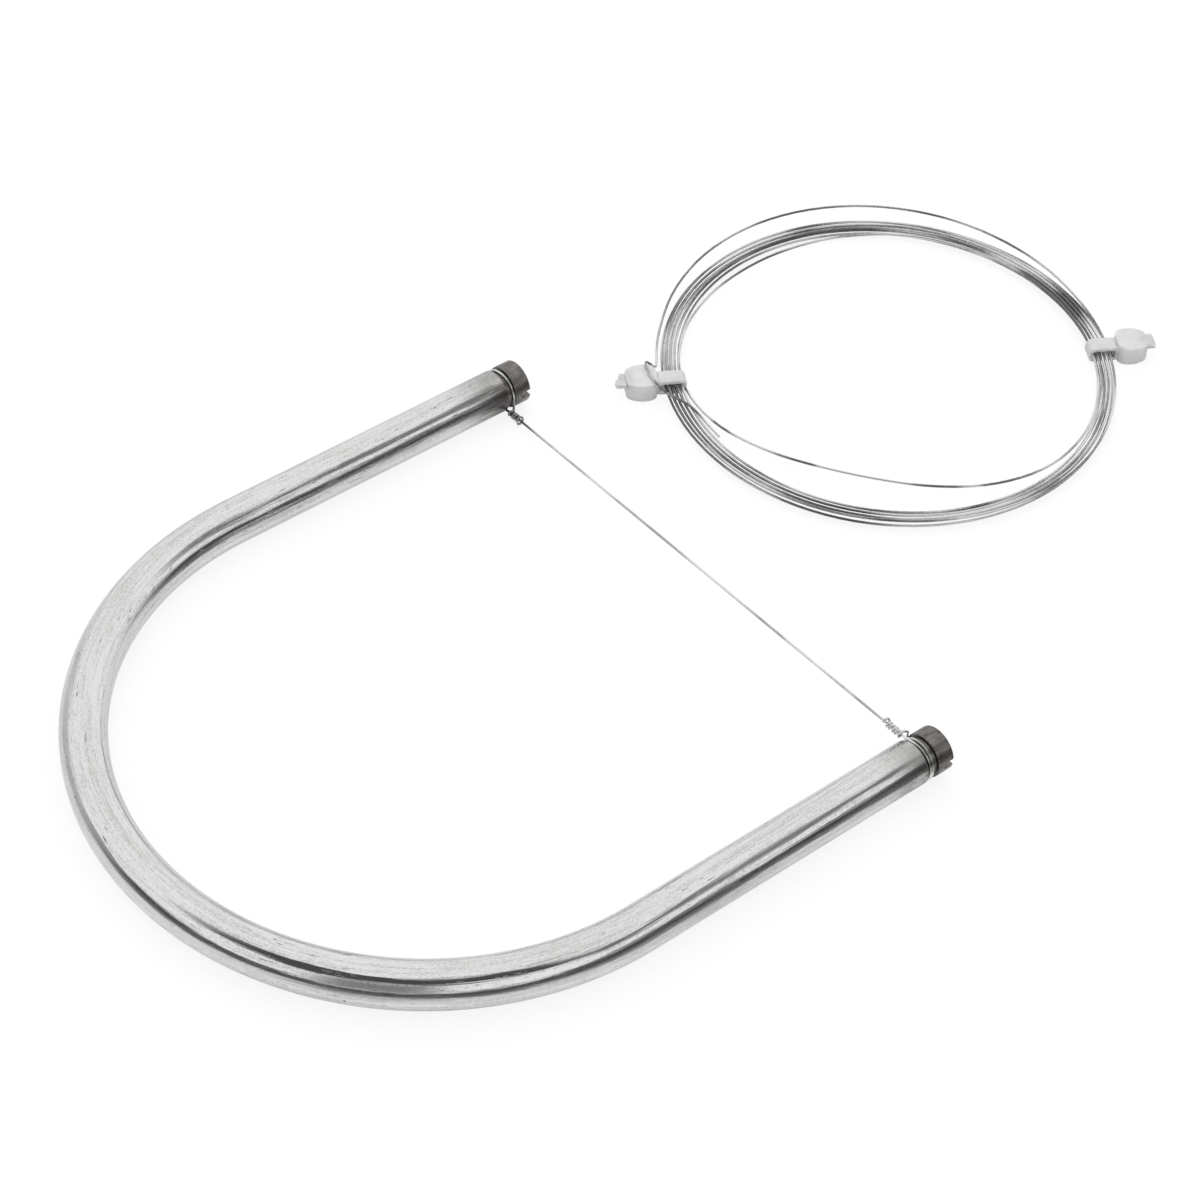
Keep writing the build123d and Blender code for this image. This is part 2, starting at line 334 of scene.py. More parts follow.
@dataclass(frozen=True)
class WireSteel:
    """Drawn steel wire. It changes slowly round its middle, and quickly from strand to strand."""

    name: str
    light: Colour
    dull: Colour
    middle: Numbers
    across_strands: float
    round_middle: Numbers = (2.2, 2.2, 0.0)
    slow: Noise = Noise((1, 1, 1), 2, 0.5)
    fine: Noise = Noise((1500, 1500, 1500), 3, 0.6)
    dull_levels: Numbers = (0.40, 0.60)
    roughness: float = 0.10
    relief: float = 0.006 * MM

    def material(self) -> bpy.types.Material:
        """Make the material.

        Returns:
            The material.
        """
        material, graph = new_material(self.name)
        place = graph.node("TexCoord", {}, {}, "Object")
        spoke = graph.vector("MULTIPLY", graph.vector("SUBTRACT", place, self.middle), (1, 1, 0))
        reach = graph.vector("LENGTH", spoke, output="Value")
        lift = graph.node("SeparateXYZ", {}, {0: place}, "Z")
        strand = graph.node("CombineXYZ", {}, {"Z": (reach + lift) * self.across_strands})
        way = graph.vector("NORMALIZE", spoke)
        slow = graph.noise(graph.vector("MULTIPLY_ADD", way, self.round_middle, strand), self.slow)
        fine = graph.noise(place, self.fine)
        dulled = graph.fade(slow * 0.85 + fine * 0.15, *self.dull_levels)
        colour = graph.mix(dulled, self.light, self.dull)
        graph.steel(colour, self.roughness + fine * 0.08, graph.bump(fine, self.relief, 0.3))
        return material


@dataclass(frozen=True)
class TieNylon:
    """Milky natural nylon, a little cloudy, with a soft moulded skin."""

    milk: Colour = (0.87, 0.875, 0.87)
    cloud: Colour = (0.77, 0.78, 0.775)
    clouds: Noise = Noise((330, 330, 330), 4, 0.6, (0.4, 0.68))
    skin: Noise = Noise((1900, 1900, 1900), 3, 0.55)
    roughness: float = 0.34
    relief: float = 0.02 * MM

    def material(self) -> bpy.types.Material:
        """Make the material.

        Returns:
            The material.
        """
        material, graph = new_material("tie_nylon_natural")
        place = graph.node("TexCoord", {}, {}, "Object")
        skin = graph.noise(place, self.skin)
        clouded = graph.spots(place, self.clouds) * 0.7
        shader = {
            "Base Color": graph.mix(clouded, self.milk, self.cloud),
            "Roughness": self.roughness + skin * 0.14,
            "Subsurface Weight": 0.7,
            "Subsurface Radius": (1.0, 1.0, 1.0),
            "Subsurface Scale": 2.2 * MM,
            "Transmission Weight": 0.25,
            "Normal": graph.bump(skin, self.relief, 0.5),
        }
        graph.surface(graph.node("BsdfPrincipled", {}, shader))
        return material


# Meshes


def add_object(name: str, data: bpy.types.ID) -> Piece:
    """Put new data into the scene, as an object at the origin.

    Args:
        name: The object's name.
        data: Its mesh, curve, camera or lamp.

    Returns:
        The object.
    """
    item = bpy.data.objects.new(name, data)
    bpy.context.scene.collection.objects.link(item)
    return item


def smooth(mesh: bpy.types.Mesh, sharp_degrees: float) -> None:
    """Shade a mesh smooth, but for edges over an angle."""
    mesh.shade_smooth()
    mesh.set_sharp_from_angle(angle=math.radians(sharp_degrees))


def keep(shape: Shape, name: str) -> Piece:
    """Turn a bmesh into a named object.

    Args:
        shape: The finished shape, which is freed.
        name: The object's name.

    Returns:
        The object.
    """
    mesh = bpy.data.meshes.new(name)
    shape.to_mesh(mesh)
    shape.free()
    smooth(mesh, METAL_SHARP_DEGREES)
    return add_object(name, mesh)


def evaluated_mesh(item: Piece) -> bpy.types.Mesh:
    """Make a new mesh of what an object's curve or modifiers make of it."""
    graph = bpy.context.evaluated_depsgraph_get()
    return bpy.data.meshes.new_from_object(item.evaluated_get(graph))


def add_boolean(piece: Piece, tool: Piece, operation: str) -> None:
    """Cut a piece by a tool, or join them.

    Args:
        piece: The piece.
        tool: The other shape.
        operation: DIFFERENCE or UNION.
    """
    step = piece.modifiers.new(tool.name, "BOOLEAN")
    step.operation = operation
    step.solver = "EXACT"
    step.object = tool


def apply_modifiers(piece: Piece, tools: Iterable[Piece], sharp_degrees: float) -> None:
    """Replace a piece's mesh by what its modifiers make of it.

    Args:
        piece: The piece, whose modifiers are removed.
        tools: The objects that its modifiers used, which are removed too.
        sharp_degrees: The angle over which an edge of the new mesh stays sharp.
    """
    mesh = evaluated_mesh(piece)
    mesh.name = piece.name
    piece.modifiers.clear()
    piece.data = mesh
    for tool in tools:
        bpy.data.objects.remove(tool)
    smooth(mesh, sharp_degrees)


def only(kind: type, geometry: Iterable) -> list:
    """Pick the elements of one kind out of what an operator gives back."""
    return [one for one in geometry if isinstance(one, kind)]


def extrude_ring(shape: Shape, edges: list) -> tuple[list, list]:
    """Extrude a ring of edges in its place, and give the new ring's points and edges."""
    made = bmesh.ops.extrude_edge_only(shape, edges=edges)["geom"]
    return only(bmesh.types.BMVert, made), only(bmesh.types.BMEdge, made)


def thicken(shape: Shape, faces: list, shift: Numbers) -> None:
    """Extrude flat faces to a closed block.

    Args:
        shape: The shape.
        faces: Its faces.
        shift: How far the block reaches from them.
    """
    made = bmesh.ops.extrude_face_region(shape, geom=faces)["geom"]
    bmesh.ops.translate(shape, verts=only(bmesh.types.BMVert, made), vec=shift)
    bmesh.ops.recalc_face_normals(shape, faces=shape.faces)


def block(points: Iterable[Vector], shift: Numbers) -> Shape:
    """Extrude a flat outline to a closed block.

    Args:
        points: The outline's points.
        shift: How far the block reaches from it.

    Returns:
        The block.
    """
    shape = bmesh.new()
    verts = [shape.verts.new(point) for point in points]
    thicken(shape, bmesh.ops.contextual_create(shape, geom=verts)["faces"], shift)
    return shape


def rim(end: float, radius: float, rounding: float, steps: int) -> list[Numbers]:
    """Round the rim of a turned end, as pairs of a place along X and a radius."""
    turns = [math.pi / 2 * step / steps for step in range(steps + 1)]
    return [
        (end - rounding * (1 - math.sin(turn)), radius - rounding * (1 - math.cos(turn)))
        for turn in turns
    ]


def smooth_step(share: float) -> float:
    """Rise from 0 to 1 with a level start and end."""
    share = min(max(share, 0.0), 1.0)
    return share * share * (3 - 2 * share)


def wire_curve(
    name: str, kind: str, places: Sequence[Vector], radius: float, bevel_resolution: int
) -> bpy.types.Curve:
    """Make the curve of a round wire.

    Args:
        name: The curve's name.
        kind: POLY or NURBS.
        places: The points of the wire's middle line.
        radius: The wire's radius.
        bevel_resolution: How finely its section is rounded.

    Returns:
        The curve, of one spline.
    """
    curve = bpy.data.curves.new(name, "CURVE")
    curve.dimensions = "3D"
    curve.bevel_depth = radius
    curve.bevel_resolution = bevel_resolution
    curve.use_fill_caps = True
    spline = curve.splines.new(kind)
    spline.points.add(len(places) - 1)
    for point, place in zip(spline.points, places):
        point.co = (*place, 1.0)
    return curve


def finish_piece(
    piece: Piece, material: bpy.types.Material, body: str, slot: str, *nodes: str
) -> None:
    """Give a piece its material and its body, and hide the CAD nodes that it stands for.

    Args:
        piece: The piece.
        material: Its material.
        body: The CAD body that it moves with.
        slot: Not used.
        nodes: The CAD nodes that it replaces.
    """
    piece.data.materials.clear()
    piece.data.materials.append(material)
    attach(piece, body)
    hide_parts(*nodes)


# The bow


@dataclass
class BowTube:
    """The bow's tube: two legs and a half-circle bend, with a tapped seat in each end."""

    radius: float = 6.0 * MM
    bend_radius: float = 84.0 * MM
    bend_x: float = -2.15 * MM
    leg_length: float = 86.0 * MM
    edge_break: float = 0.35 * MM
    edge_steps: int = 3
    seat_radius: float = 5.05 * MM
    seat_entry: float = 0.3 * MM
    seat_depth: float = 16.0 * MM
    sides: int = 96
    bend_steps: int = 160
    leg_steps: int = 8

    @property
    def length(self) -> float:
        """The length of the tube's middle line."""
        return 2 * self.leg_length + math.pi * self.bend_radius

    @property
    def leg_end(self) -> float:
        """Where both legs end along X."""
        return self.bend_x + self.leg_length

    def draw_leg(self, shape: Shape, edges: list, way: int) -> list:
        """Draw a straight leg on from a ring.

        Args:
            shape: The shape.
            edges: The ring's edges.
            way: 1 towards +X and -1 towards -X.

        Returns:
            The edges of the leg's last ring.
        """
        step = way * (self.leg_length - self.edge_break) / self.leg_steps
        for _ in range(self.leg_steps):
            verts, edges = extrude_ring(shape, edges)
            bmesh.ops.translate(shape, verts=verts, vec=(step, 0, 0))
        return edges

    def close_end(self, shape: Shape, edges: list, leg: Leg) -> None:
        """Round an end's outer edge, and sink its seat into it.

        Args:
            shape: The shape.
            edges: The leg's last ring.
            leg: Which leg it is.
        """
        outline = rim(self.leg_end, self.radius, self.edge_break, self.edge_steps)[1:]
        outline.append((self.leg_end, self.seat_radius + self.seat_entry))
        outline.append((self.leg_end - self.seat_entry, self.seat_radius))
        outline.append((self.leg_end - self.seat_depth, self.seat_radius))
        to_axis = Matrix.Translation((0, -leg.value * self.bend_radius, -self.radius))
        before = self.radius
        for place, radius in outline:
            verts, edges = extrude_ring(shape, edges)
            ratio = radius / before
            bmesh.ops.scale(shape, vec=(1, ratio, ratio), verts=verts, space=to_axis)
            bmesh.ops.translate(shape, verts=verts, vec=(place - verts[0].co.x, 0, 0))
            before = radius
        bmesh.ops.contextual_create(shape, geom=edges)

    def straighten(self, mesh: bpy.types.Mesh) -> None:
        """Write each point's place on the straightened tube: along it, outwards and up.

        Args:
            mesh: The tube's mesh.
        """
        places = []
        for vert in mesh.vertices:
            x = vert.co.x - self.bend_x
            y = vert.co.y
            if x >= 0:
                outwards = abs(y) - self.bend_radius
                along = self.leg_length - x if y > 0 else self.length - self.leg_length + x
            else:
                outwards = math.hypot(x, y) - self.bend_radius
                along = self.leg_length + self.bend_radius * math.atan2(-x, y)
            places += [along, outwards, vert.co.z - self.radius]
        layer = mesh.attributes.new(STRAIGHT, "FLOAT_VECTOR", "POINT")
        layer.data.foreach_set("vector", places)

    def build(self) -> Piece:
        """Draw one ring along the far leg, round the bend and along the near leg.

        Returns:
            The tube.
        """
        shape = bmesh.new()
        stand = Matrix.Translation((self.leg_end - self.edge_break, self.bend_radius, self.radius))
        stand = stand @ Matrix.Rotation(math.pi / 2, 4, "Y")
        bmesh.ops.create_circle(shape, radius=self.radius, segments=self.sides, matrix=stand)
        first = list(shape.edges)
        edges = self.draw_leg(shape, first, -1)
        verts = list(dict.fromkeys(vert for edge in edges for vert in edge.verts))
        spun = bmesh.ops.spin(
            shape, geom=verts + edges, cent=(self.bend_x, 0, self.radius), axis=(0, 0, 1),
            angle=math.pi, steps=self.bend_steps, use_duplicate=False,
        )["geom_last"]
        last = self.draw_leg(shape, only(bmesh.types.BMEdge, spun), 1)
        self.close_end(shape, first, Leg.FAR)
        self.close_end(shape, last, Leg.NEAR)
        bmesh.ops.recalc_face_normals(shape, faces=shape.faces)
        tube = keep(shape, "bow_tube_polished")
        self.straighten(tube.data)
        return tube

    def dress(self, tube: Piece) -> None:
        """Give the tube its finish and its body."""
        steel = TubeSteel(self.length).material()
        finish_piece(tube, steel, "bow", "tube_steel", "bow_tube")


@dataclass
class SlottedPlug:
    """A turned screw plug with a driver slot across its head."""

    leg: Leg
    neck_gap: float
    tooling: Noise
    bow: BowTube
    shank_radius: float = 5.0 * MM
    shank_length: float = 15.0 * MM
    tip_chamfer: float = 1.0 * MM
    head_length: float = 5.0 * MM
    rim_round: float = 0.4 * MM
    rim_steps: int = 4
    slot_width: float = 2.0 * MM
    slot_depth: float = 3.0 * MM
    edge_wear: float = 0.12 * MM
    wear_steps: int = 2
    wear_degrees: float = 40.0
    sides: int = 96

    @property
    def side(self) -> str:
        """The word for its leg in names."""
        return self.leg.name.lower()

    @property
    def base(self) -> float:
        """Where its head starts along X."""
        return self.bow.leg_end + self.neck_gap

    @property
    def end(self) -> float:
        """Where its head ends along X."""
        return self.base + self.head_length

    @property
    def axis_point(self) -> Vector:
        """A point on its axis."""
        return Vector((0, self.leg.value * self.bow.bend_radius, self.bow.radius))

    def profile(self) -> list[Numbers]:
        """The turned outline, as pairs of a place along X and a radius."""
        tip = self.base - self.shank_length
        return [
            (tip, 0.0),
            (tip, self.shank_radius - self.tip_chamfer),
            (tip + self.tip_chamfer, self.shank_radius),
            (self.base, self.shank_radius),
            (self.base, self.bow.radius - self.edge_wear),
            (self.base + self.edge_wear, self.bow.radius),
            *rim(self.end, self.bow.radius, self.rim_round, self.rim_steps),
            (self.end, 0.0),
        ]

    def cutter(self) -> Piece:
        """Make the block that cuts the slot.

        Returns:
            The block.
        """
        shape = bmesh.new()
        size = (2 * self.slot_depth, 4 * self.bow.radius, self.slot_width, 1)
        stand = Matrix.Translation(self.axis_point + Vector((self.end, 0, 0)))
        bmesh.ops.create_cube(shape, size=1, matrix=stand @ Matrix.Diagonal(size))
        return keep(shape, f"slot_block_{self.side}")

    def build(self) -> Piece:
        """Turn the outline, then cut the slot and wear its edges.

        Returns:
            The plug.
        """
        shape = bmesh.new()
        axis = self.axis_point
        verts = [shape.verts.new(axis + Vector((along, 0, out))) for along, out in self.profile()]
        edges = [shape.edges.new(pair) for pair in zip(verts, verts[1:])]
        bmesh.ops.spin(
            shape, geom=verts + edges, cent=axis, axis=(1, 0, 0), angle=FULL_TURN,
            steps=self.sides, use_merge=True, use_duplicate=False,
        )
        bmesh.ops.remove_doubles(shape, verts=shape.verts, dist=MERGE)
        bmesh.ops.recalc_face_normals(shape, faces=shape.faces)
        plug = keep(shape, f"slotted_plug_{self.side}_turned")
        cutter = self.cutter()
        add_boolean(plug, cutter, "DIFFERENCE")
        wear = plug.modifiers.new("wear", "BEVEL")
        wear.width = self.edge_wear
        wear.segments = self.wear_steps
        wear.limit_method = "ANGLE"
        wear.angle_limit = math.radians(self.wear_degrees)
        apply_modifiers(plug, [cutter], METAL_SHARP_DEGREES)
        return plug

    def dress(self, plug: Piece) -> None:
        """Give the plug its finish and its body."""
        steel = PlugSteel(self.leg, self.tooling).material()
        finish_piece(plug, steel, f"{self.side}_plug", "plug_steel", f"slotted_plug_{self.side}")


@dataclass(frozen=True)
class WireEnd:
    """One end of the cutting wire: its loops round a neck and the knot that it is twisted into.

    The knot's turns lie close, but for a wider gap after each turn that is named in gaps_after.
    """

    leg: Leg
    top: int
    neck_loops: int
    knot_turns: float
    gaps_after: Numbers
    eyelet_radius: float


@dataclass
class CuttingWire:
    """The wire across the mouth, looped round each plug's neck and twisted back round itself."""

    bow: BowTube
    radius: float = 0.35 * MM
    bevel_resolution: int = 6
    sharp_degrees: float = 50.0
    end_gap: float = 0.3 * MM
    loop_pitch: float = 1.2 * MM
    loop_squeeze: float = 0.48 * MM
    squeeze_angle: float = math.radians(112)
    wrap_radius: float = 5.5 * MM
    knot_offset: float = 4.35 * MM
    knot_radius: float = 0.73 * MM
    knot_pitch: float = 0.78 * MM
    knot_gap: float = 0.55 * MM
    gap_turns: float = 0.5
    start_turns: float = 0.5
    closing_turns: float = 0.38
    eyelet_rise: float = 1.6
    eyelet_start: float = 1.4
    steps_per_turn: int = 40
    ends: tuple[WireEnd, WireEnd] = (
        WireEnd(Leg.FAR, -1, 1, 4.4, (1.0, 3.0), 1.05 * MM),
        WireEnd(Leg.NEAR, 1, 2, 5.4, (1.0, 3.0, 4.4), 1.1 * MM),
    )

    def advance(self, angle: float) -> float:
        """How far along the plug a loop has moved, with its turns squeezed on one side."""
        squeeze = self.loop_squeeze * (0.5 + 0.5 * math.cos(angle - self.squeeze_angle)) ** 2
        return (self.loop_pitch - squeeze) * angle / FULL_TURN

    def loop_turn(self, end: WireEnd) -> float:
        """The angle through which an end is wound round its neck, up to the knot."""
        crown = 2 * math.atan(self.knot_offset / self.wrap_radius)
        return FULL_TURN * end.neck_loops - crown

    def loops(self, end: WireEnd, centre: Vector) -> list[Vector]:
        """Wind an end round its plug's neck.

        Args:
            end: Which end it is, and how it is wound.
            centre: The middle of the neck, level with the straight span.

        Returns:
            Points from the knot's outer end to the straight span.
        """
        mouth = -end.leg.value
        loop_turn = self.loop_turn(end)
        steps = round(self.steps_per_turn * end.neck_loops)
        scale = self.start_out(end) / self.advance(loop_turn)
        points = []
        for step in range(steps + 1):
            left = loop_turn * (1 - step / steps)
            angle = FULL_TURN * end.neck_loops - loop_turn + left
            around = Vector((0, mouth * math.cos(angle), end.top * math.sin(angle)))
            out = Vector((self.advance(left) * scale, 0, 0))
            points.append(centre + around * self.wrap_radius + out)
        return points

    def start_out(self, end: WireEnd) -> float:
        """How far out along the plug the loops of an end start."""
        return max(self.advance(self.loop_turn(end)), self.loop_pitch)

    def end_route(self, end: WireEnd) -> list[Vector]:
        """Draw the centre line of one end, from its tail to the knot's inner end.

        Args:
            end: Which end it is, and how it is wound.

        Returns:
            Points along the centre line.
        """
        mouth = -end.leg.value
        span_x = self.bow.leg_end + self.end_gap + self.radius
        centre = Vector((span_x, end.leg.value * self.bow.bend_radius, self.bow.radius))
        knot_start = centre + Vector((0, mouth * self.wrap_radius, end.top * self.knot_offset))
        reach = self.bow.bend_radius - self.wrap_radius
        along = Vector((0, mouth * reach, -end.top * self.knot_offset)).normalized()
        across = Vector((0, -along.z, along.y)) * (mouth * end.top)
        points = []
        steps = round(self.steps_per_turn * end.knot_turns)
        for step in range(steps + 1):
            turn = end.knot_turns * (1 - step / steps)
            closing = 1 - smooth_step(turn / self.closing_turns)
            opening = smooth_step(self.eyelet_rise * (turn - end.knot_turns) + self.eyelet_start)
            out = self.knot_radius + (self.start_out(end) - self.knot_radius) * closing
            out += (end.eyelet_radius - self.knot_radius) * opening
            gaps = sum(smooth_step((turn - gap) / self.gap_turns) for gap in end.gaps_after)
            angle = FULL_TURN * turn * smooth_step(turn / self.start_turns)
            around = Vector((math.cos(angle), 0, 0)) + across * math.sin(angle)
            place = along * (self.knot_pitch * turn + self.knot_gap * gaps)
            points.append(knot_start + place + around * out)
        return [*points, *self.loops(end, centre), knot_start]

    def build(self) -> Piece:
        """Join both ends by the straight span.

        Returns:
            The wire, as a mesh.
        """
        name = "cutting_wire_drawn"
        first, second = (self.end_route(end) for end in self.ends)
        route = first + second[::-1]
        curve = wire_curve(name, "POLY", route, self.radius, self.bevel_resolution)
        line = add_object("cutting_wire_line", curve)
        mesh = evaluated_mesh(line)
        mesh.name = name
        bpy.data.objects.remove(line)
        smooth(mesh, self.sharp_degrees)
        return add_object(name, mesh)

    def dress(self, wire: Piece) -> None:
        """Give the wire its finish and its body."""
        steel = WireSteel(
            name="wire_steel_taut", light=(0.93, 0.93, 0.925), dull=(0.46, 0.46, 0.45),
            middle=(0.0, 0.0, 0.0), across_strands=120.0,
        )
        finish_piece(wire, steel.material(), "bow", "wire_steel", "cutting_wire")


# The spare coil


@dataclass
class SpareCoil:
    """The spare wire, wound inwards on the lower layer and outwards again on the upper one.

    The hook is the free end: how far past the last tie its points lie, how far out from the
    coil's middle, and how high, in mm.
    """

    diameter: float = 130.0 * MM
    wire_radius: float = 0.35 * MM
    bevel_resolution: int = 2
    curve_resolution: int = 5
    centre_x: float = 181.0 * MM
    centre_y: float = 31.0 * MM
    tie_angle: float = math.radians(-29.7)
    pitch: float = 1.2 * MM
    layer_turns: float = 4.5
    layer_height: float = 1.2 * MM
    floor_height: float = 1.75 * MM
    inner_stray: float = 13.0 * MM
    inner_peak: float = 0.45
    inner_stray_share: float = 0.80
    slight_stray: float = 4.2 * MM
    slight_peak: float = 0.65
    outer_stray: float = 6.6 * MM
    outer_peak: float = 0.5
    start_turns: float = 0.008
    wander: float = 0.22 * MM
    side_waves: Numbers = (2.4, 1.9, 5.3)
    lift_waves: Numbers = (3.7, 1.3)
    points_per_turn: int = 20
    hook: tuple[Numbers, ...] = (
        (-7.6, 64.9, 2.95), (-5.9, 65.1, 3.1), (-5.2, 66.0, 3.9), (-5.3, 67.4, 5.2),
        (-4.7, 68.3, 6.2), (-3.0, 68.4, 6.2), (0.0, 67.9, 6.05), (3.0, 67.1, 6.1),
        (5.2, 66.0, 5.6), (6.8, 64.4, 4.4), (8.6, 62.7, 4.15), (10.6, 61.1, 4.15),
        (13.6, 59.6, 4.15), (18.0, 58.8, 4.15), (24.0, 58.6, 4.1), (29.0, 58.5, 4.1),
    )

    @property
    def climb_end(self) -> float:
        """The turn at which the climb to the upper layer ends."""
        return self.layer_turns + 0.5

    @property
    def last_tie(self) -> float:
        """The turn at which the wire passes the last tie."""
        return self.climb_end + self.layer_turns

    @staticmethod
    def stray(turn: float, first_turn: float, peak_share: float) -> float:
        """How far a turn strays in the half turn after a tie, as a share of its most."""
        share = min(max(2 * (turn - first_turn), 0.0), 1.0)
        return math.sin(math.pi * share ** (math.log(0.5) / math.log(peak_share))) ** 2

    def place(self, angle: float, radius: float, height: float) -> Vector:
        """The point at an angle round the coil, a radius and a height."""
        out = Vector((math.cos(angle), math.sin(angle), 0)) * radius
        return Vector((self.centre_x, self.centre_y, height)) + out

    def point(self, turn: float) -> Vector:
        """Find the coil's centre line at a turn.

        Args:
            turn: The turn, counted from the first tie.

        Returns:
            The point.
        """
        wound_in = min(turn, self.layer_turns)
        wound_out = min(max(turn - self.climb_end, 0.0), self.layer_turns)
        radius = self.diameter / 2 - self.wire_radius - self.pitch * (wound_in - wound_out)
        early = self.layer_turns + (turn - self.layer_turns) / self.inner_stray_share
        radius -= self.inner_stray * self.stray(early, self.layer_turns, self.inner_peak)
        radius -= self.slight_stray * self.stray(turn, self.climb_end, self.slight_peak)
        radius += self.outer_stray * self.stray(turn, self.last_tie - 0.5, self.outer_peak)
        held = math.sin(FULL_TURN * turn) ** 2
        slow, sway, quick = self.side_waves
        radius += self.wander * held * math.sin(slow * turn + sway * math.sin(quick * turn))
        height = self.floor_height
        height += self.layer_height * smooth_step(2 * (turn - self.layer_turns))
        rate, start = self.lift_waves
        height += self.wander * held * math.sin(rate * turn + start)
        return self.place(self.tie_angle + FULL_TURN * turn, radius, height)

    def free_end(self) -> list[Vector]:
        """The hooked end: out round the last tie's head, and back along the band's inside."""
        turn = self.tie_angle + FULL_TURN * self.last_tie
        return [
            self.place(turn + 2 * past * MM / self.diameter, out * MM, up * MM)
            for past, out, up in self.hook
        ]

    def build(self) -> Piece:
        """Lay the wire as one smooth spline.

        Returns:
            The wire, as a curve.
        """
        name = "spare_wire_drawn"
        count = round(self.points_per_turn * self.last_tie)
        turns = [-self.start_turns, *(step / self.points_per_turn for step in range(count))]
        places = [self.point(turn) for turn in turns] + self.free_end()
        curve = wire_curve(name, "NURBS", places, self.wire_radius, self.bevel_resolution)
        curve.resolution_u = self.curve_resolution
        spline = curve.splines[0]
        spline.order_u = 3
        spline.use_endpoint_u = True
        return add_object(name, curve)

    def dress(self, wire: Piece) -> None:
        """Give the wire its finish and its body."""
        steel = WireSteel(
            name="wire_steel_spare", light=(0.86, 0.86, 0.855), dull=(0.21, 0.21, 0.207),
            middle=(self.centre_x, self.centre_y, 0.0), across_strands=300.0,
        )
        finish_piece(wire, steel.material(), "spare_coil", "wire_steel", "spare_wire")

    def declare(self) -> None:
        """Find the wire's first point; nothing is done with it.
        """
        start = self.point(-self.start_turns)


